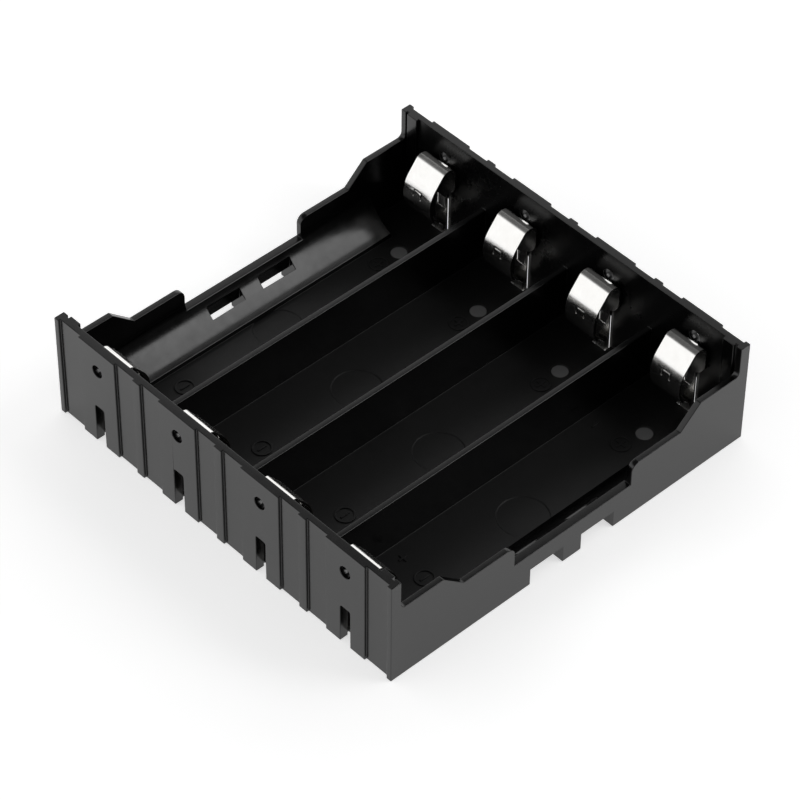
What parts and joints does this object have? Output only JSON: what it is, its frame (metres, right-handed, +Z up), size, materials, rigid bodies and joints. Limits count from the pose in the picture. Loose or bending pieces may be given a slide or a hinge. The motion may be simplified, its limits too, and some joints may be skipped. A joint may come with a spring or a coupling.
{
  "type": "cylindrical cell holder",
  "caption": "Open black tray that holds cylindrical cells side by side, with a folded spring leaf contact at both ends of each bay.",
  "frame": {"origin": "middle of the flat underside", "axes": "+Z up out of the open side, +Y along the cells, +X across the bays"},
  "size_m": [0.078, 0.0764, 0.0206],
  "materials": {
    "housing_plastic": "satin moulded black",
    "contact_metal": "bright nickel plate"
  },
  "bodies": {
    "root": {"housing": "housing_plastic", "near_contact_1": "contact_metal", "near_contact_2": "contact_metal", "near_contact_3": "contact_metal", "near_contact_4": "contact_metal", "far_contact_1": "contact_metal", "far_contact_2": "contact_metal", "far_contact_3": "contact_metal", "far_contact_4": "contact_metal"}
  },
  "joints": []
}
